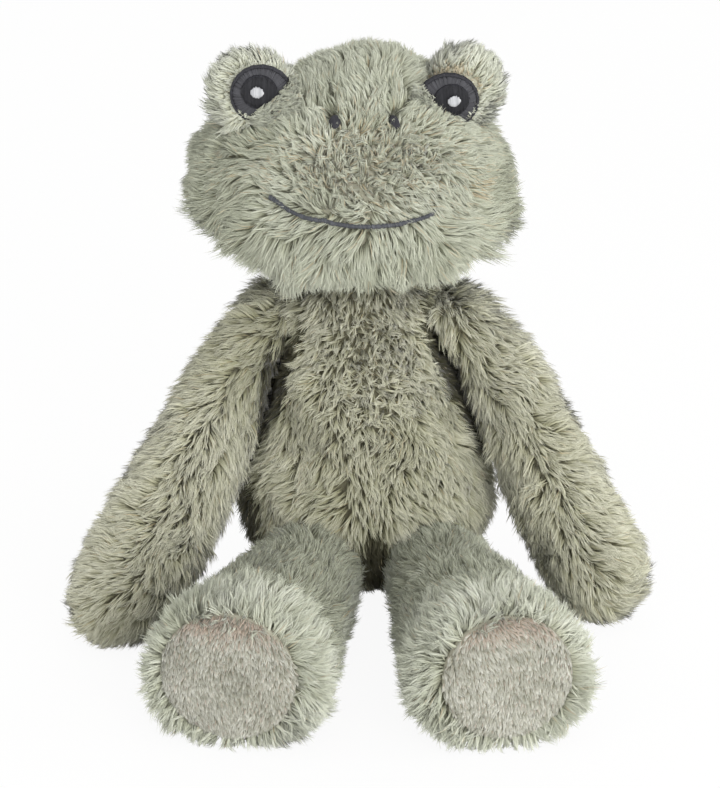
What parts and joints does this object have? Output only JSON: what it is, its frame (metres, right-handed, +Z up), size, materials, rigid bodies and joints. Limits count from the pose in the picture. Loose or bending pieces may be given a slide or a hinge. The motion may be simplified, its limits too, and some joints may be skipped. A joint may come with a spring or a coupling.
{
  "type": "plush frog",
  "caption": "Sitting plush frog in sage-green long-pile fur, with embroidered eyes and mouth, short-pile soles, and head, arms and legs that turn at their sewn seams.",
  "frame": {"origin": "on the resting surface, under the middle of the body", "axes": "+Z up, -Y the way the frog looks, +X to the frog's left"},
  "size_m": [0.2022, 0.1878, 0.208],
  "materials": {
    "fur": "matte",
    "sole_pile": "matte",
    "filling": "matte",
    "seam_thread": "matte",
    "face_thread": "matte",
    "eye_iris": "matte",
    "eye_pupil": "matte",
    "eye_highlight": "matte",
    "pellets": "matte"
  },
  "bodies": {
    "torso": {"closing_seam": "seam_thread", "pellet_bag": "pellets", "torso_skin": "fur", "torso_stuffing": "filling"},
    "neck": {"neck_seam": "seam_thread"},
    "head": {"eye_patch_left": "eye_iris", "eye_patch_right": "eye_iris", "eye_pod_left": "fur", "eye_pod_right": "fur", "eye_pod_stuffing_left": "filling", "eye_pod_stuffing_right": "filling", "head_skin": "fur", "head_stuffing": "filling", "highlight_left": "eye_highlight", "highlight_right": "eye_highlight", "mouth_stitch": "face_thread", "nostril_left": "face_thread", "nostril_right": "face_thread", "pupil_left": "eye_pupil", "pupil_right": "eye_pupil"},
    "shoulder_left": {"shoulder_seam_left": "seam_thread"},
    "arm_left": {"arm_skin_left": "fur", "arm_stuffing_left": "filling"},
    "hip_left": {"hip_seam_left": "seam_thread"},
    "leg_left": {"leg_skin_left": "fur", "leg_stuffing_left": "filling", "sole_left": "sole_pile"},
    "shoulder_right": {"shoulder_seam_right": "seam_thread"},
    "arm_right": {"arm_skin_right": "fur", "arm_stuffing_right": "filling"},
    "hip_right": {"hip_seam_right": "seam_thread"},
    "leg_right": {"leg_skin_right": "fur", "leg_stuffing_right": "filling", "sole_right": "sole_pile"}
  },
  "joints": [
    {"name": "neck_turn", "type": "hinge", "parent": "torso", "child": "neck", "pos_m": [-0.003, 0, 0.123], "axis": [0, 0, 1], "range_deg": [-25, 25], "stiffness_Nm_per_rad": 0.4},
    {"name": "neck_nod", "type": "hinge", "parent": "neck", "child": "head", "pos_m": [-0.003, 0, 0.123], "axis": [-1, 0, 0], "range_deg": [-8, 12], "stiffness_Nm_per_rad": 1},
    {"name": "shoulder_swing_left", "type": "hinge", "parent": "torso", "child": "shoulder_left", "pos_m": [0.0385, 0, 0.1], "axis": [-1, 0, 0], "range_deg": [-40, 40], "stiffness_Nm_per_rad": 0.3},
    {"name": "shoulder_raise_left", "type": "hinge", "parent": "shoulder_left", "child": "arm_left", "pos_m": [0.0385, 0, 0.1], "axis": [0, -1, 0], "range_deg": [0, 45], "stiffness_Nm_per_rad": 0.2},
    {"name": "hip_splay_left", "type": "hinge", "parent": "torso", "child": "hip_left", "pos_m": [0.0245, -0.03, 0.0205], "axis": [0, 0, 1], "range_deg": [0, 20], "stiffness_Nm_per_rad": 0.2},
    {"name": "hip_swing_left", "type": "hinge", "parent": "hip_left", "child": "leg_left", "pos_m": [0.0245, -0.03, 0.0205], "axis": [-1, 0, 0], "range_deg": [-25, 20], "stiffness_Nm_per_rad": 0.3},
    {"name": "shoulder_swing_right", "type": "hinge", "parent": "torso", "child": "shoulder_right", "pos_m": [-0.0385, 0, 0.1], "axis": [-1, 0, 0], "range_deg": [-40, 40], "stiffness_Nm_per_rad": 0.3},
    {"name": "shoulder_raise_right", "type": "hinge", "parent": "shoulder_right", "child": "arm_right", "pos_m": [-0.0385, 0, 0.1], "axis": [0, 1, 0], "range_deg": [0, 45], "stiffness_Nm_per_rad": 0.2},
    {"name": "hip_splay_right", "type": "hinge", "parent": "torso", "child": "hip_right", "pos_m": [-0.0205, -0.03, 0.0205], "axis": [0, 0, -1], "range_deg": [0, 20], "stiffness_Nm_per_rad": 0.2},
    {"name": "hip_swing_right", "type": "hinge", "parent": "hip_right", "child": "leg_right", "pos_m": [-0.0205, -0.03, 0.0205], "axis": [-1, 0, 0], "range_deg": [-25, 20], "stiffness_Nm_per_rad": 0.3}
  ]
}
